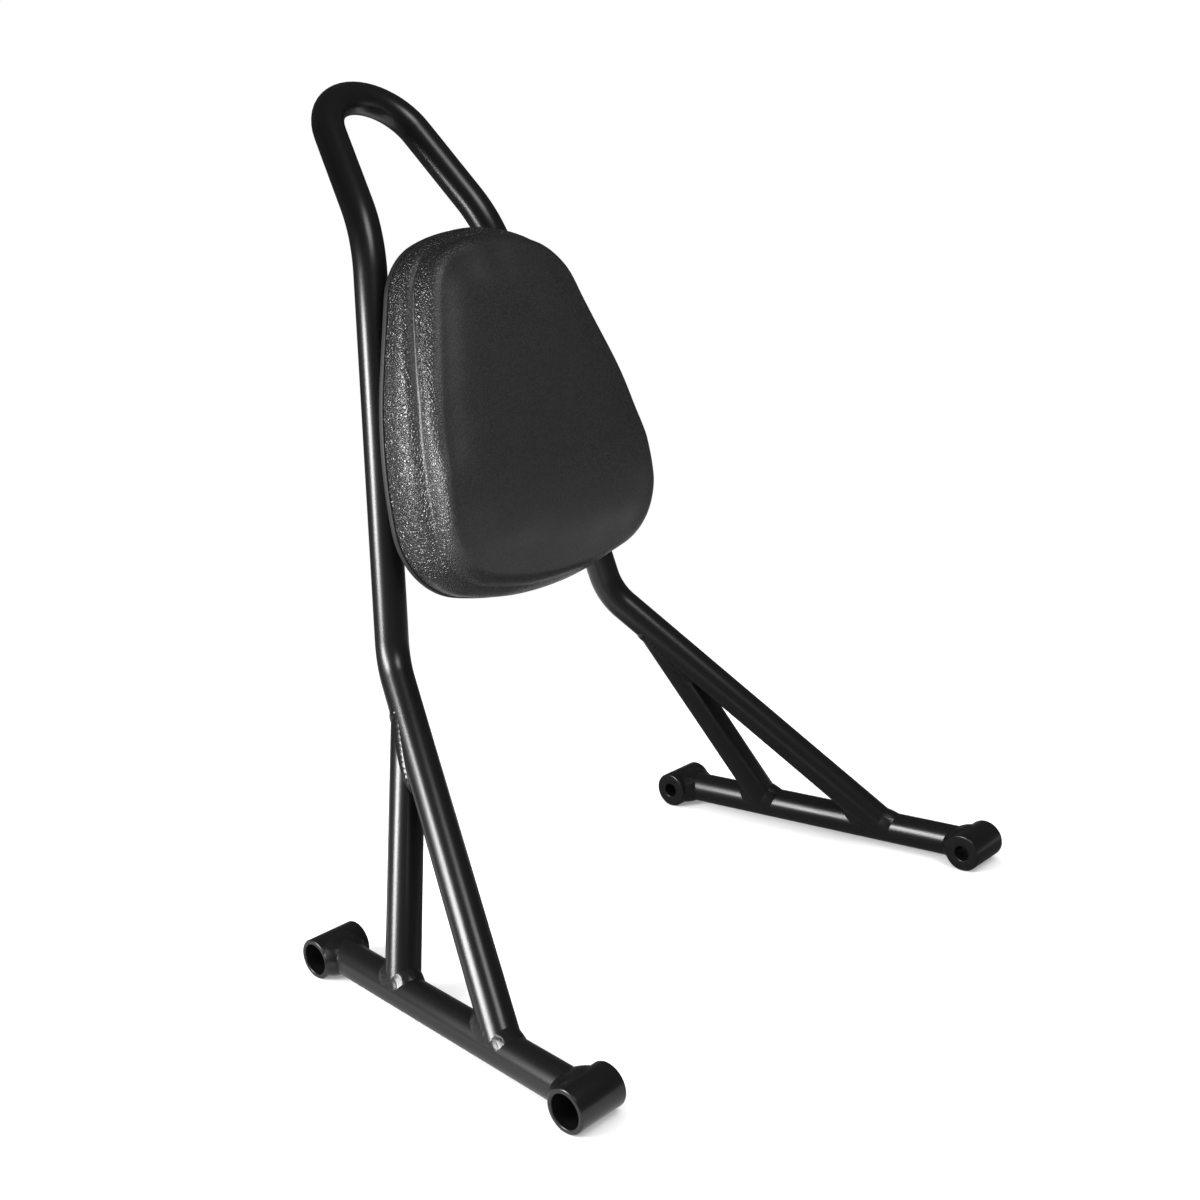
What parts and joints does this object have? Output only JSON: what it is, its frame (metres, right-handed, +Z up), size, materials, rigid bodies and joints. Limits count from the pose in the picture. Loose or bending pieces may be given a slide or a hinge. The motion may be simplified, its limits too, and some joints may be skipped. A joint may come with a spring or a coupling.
{
  "type": "sissy bar",
  "caption": "Motorcycle sissy bar: a welded black tube frame with a looped top, two strutted rails with bolt bosses, and a backrest pad.",
  "frame": {"origin": "on the ground, under the middle of the bounding box, in the plane of symmetry", "axes": "+Z up, +X the rider's right, -Y the front, which the pad faces; the frame is the same on both sides of X = 0"},
  "size_m": [0.372, 0.3336, 0.4808],
  "materials": {
    "powder_coat": "satin",
    "vinyl": "matte",
    "board": "satin",
    "zinc": "satin"
  },
  "bodies": {
    "root": {"hoop_tube": "powder_coat", "left_rail": "powder_coat", "right_rail": "powder_coat", "left_strut": "powder_coat", "right_strut": "powder_coat", "front_left_boss": "powder_coat", "rear_left_boss": "powder_coat", "front_right_boss": "powder_coat", "rear_right_boss": "powder_coat", "lower_strap": "powder_coat", "upper_strap": "powder_coat", "pad_base": "board", "pad_cushion": "vinyl", "pad_bolts": "zinc", "pad_washers": "zinc", "pad_tee_nuts": "zinc", "left_leg_weld": "powder_coat", "right_leg_weld": "powder_coat", "left_strut_foot_weld": "powder_coat", "right_strut_foot_weld": "powder_coat", "left_strut_head_weld": "powder_coat", "right_strut_head_weld": "powder_coat", "front_left_boss_weld": "powder_coat", "rear_left_boss_weld": "powder_coat", "front_right_boss_weld": "powder_coat", "rear_right_boss_weld": "powder_coat", "lower_strap_welds": "powder_coat", "upper_strap_welds": "powder_coat"}
  },
  "joints": []
}
